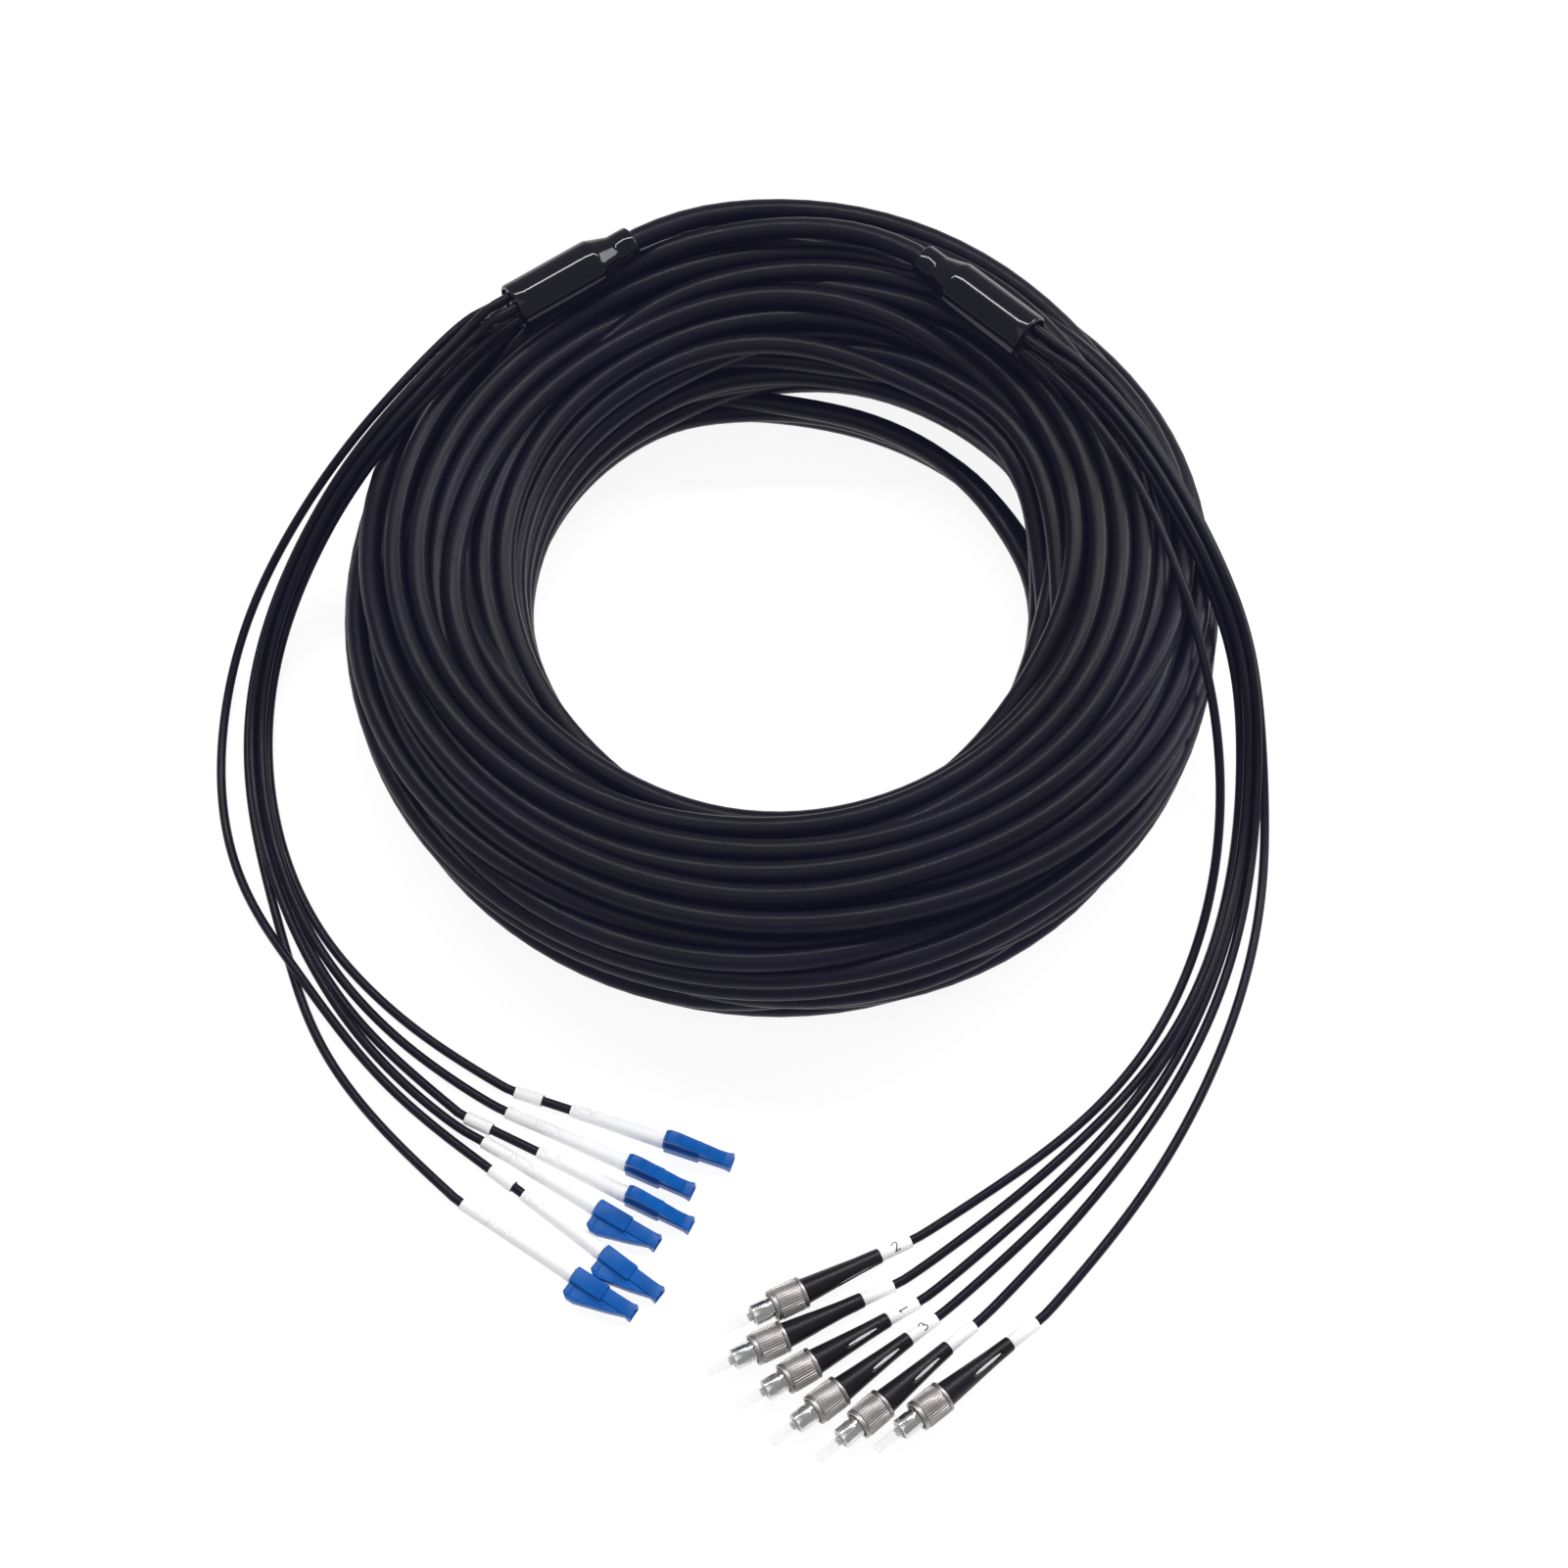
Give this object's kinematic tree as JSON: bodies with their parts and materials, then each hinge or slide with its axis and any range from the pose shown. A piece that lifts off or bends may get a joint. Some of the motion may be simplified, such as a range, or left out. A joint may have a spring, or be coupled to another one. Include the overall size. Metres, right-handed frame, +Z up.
{
  "type": "fibre breakout cable",
  "caption": "Coiled black multi-fibre trunk cable with breakout boots; thin labelled tails end in blue latched plugs on one side and threaded metal plugs on the other.",
  "frame": {"origin": "bottom centre of the whole cable's bounding box, on the floor that it lies on", "axes": "+Z up, square to the coil; +Y from the plugs, laid out in front, towards the coil; +X to the right, towards the tails of the threaded plugs"},
  "size_m": [0.3458, 0.4158, 0.0817],
  "materials": {
    "jacket": "satin extruded jacket",
    "breakout": "glossy moulded",
    "label": "matte printed sleeve",
    "white_boot": "smooth moulded",
    "blue_housing": "smooth moulded",
    "black_boot": "smooth moulded",
    "barrel": "polished nickel plate",
    "nut": "knurled nickel plate"
  },
  "bodies": {
    "cable": {"trunk_coil": "jacket", "trunk_lead_left": "jacket", "trunk_lead_right": "jacket", "tail_left_1": "jacket", "tail_left_2": "jacket", "tail_left_3": "jacket", "tail_left_4": "jacket", "tail_left_5": "jacket", "tail_left_6": "jacket", "tail_right_1": "jacket", "tail_right_2": "jacket", "tail_right_3": "jacket", "tail_right_4": "jacket", "tail_right_5": "jacket", "tail_right_6": "jacket", "breakout_boot_left": "breakout", "breakout_boot_right": "breakout", "label_left_1": "label", "label_left_2": "label", "label_left_3": "label", "label_left_4": "label", "label_left_5": "label", "label_left_6": "label", "label_right_1": "label", "label_right_2": "label", "label_right_3": "label", "label_right_4": "label", "label_right_5": "label", "label_right_6": "label", "latch_boot_1": "white_boot", "latch_boot_2": "white_boot", "latch_boot_3": "white_boot", "latch_boot_4": "white_boot", "latch_boot_5": "white_boot", "latch_boot_6": "white_boot", "latch_housing_1": "blue_housing", "latch_housing_2": "blue_housing", "latch_housing_3": "blue_housing", "latch_housing_4": "blue_housing", "latch_housing_5": "blue_housing", "latch_housing_6": "blue_housing", "screw_boot_1": "black_boot", "screw_boot_2": "black_boot", "screw_boot_3": "black_boot", "screw_boot_4": "black_boot", "screw_boot_5": "black_boot", "screw_boot_6": "black_boot", "screw_barrel_1": "barrel", "screw_barrel_2": "barrel", "screw_barrel_3": "barrel", "screw_barrel_4": "barrel", "screw_barrel_5": "barrel", "screw_barrel_6": "barrel"},
    "nut_1": {"screw_nut_1": "nut"},
    "nut_2": {"screw_nut_2": "nut"},
    "nut_3": {"screw_nut_3": "nut"},
    "nut_4": {"screw_nut_4": "nut"},
    "nut_5": {"screw_nut_5": "nut"},
    "nut_6": {"screw_nut_6": "nut"}
  },
  "joints": [
    {"name": "nut_1_turn", "type": "hinge", "parent": "cable", "child": "nut_1", "pos_m": [0.02039, -0.15615, 0.00502], "axis": [-0.8891, -0.4511, 0.0781], "continuous": true},
    {"name": "nut_2_turn", "type": "hinge", "parent": "cable", "child": "nut_2", "pos_m": [0.01478, -0.16965, 0.00502], "axis": [-0.8937, -0.4417, 0.0781], "continuous": true},
    {"name": "nut_3_turn", "type": "hinge", "parent": "cable", "child": "nut_3", "pos_m": [0.0236, -0.17768, 0.00502], "axis": [-0.8519, -0.5179, 0.0781], "continuous": true},
    {"name": "nut_4_turn", "type": "hinge", "parent": "cable", "child": "nut_4", "pos_m": [0.03151, -0.186, 0.00502], "axis": [-0.7867, -0.6124, 0.0781], "continuous": true},
    {"name": "nut_5_turn", "type": "hinge", "parent": "cable", "child": "nut_5", "pos_m": [0.04423, -0.18982, 0.00502], "axis": [-0.7513, -0.6554, 0.0781], "continuous": true},
    {"name": "nut_6_turn", "type": "hinge", "parent": "cable", "child": "nut_6", "pos_m": [0.06212, -0.1877, 0.00502], "axis": [-0.778, -0.6233, 0.0781], "continuous": true}
  ]
}
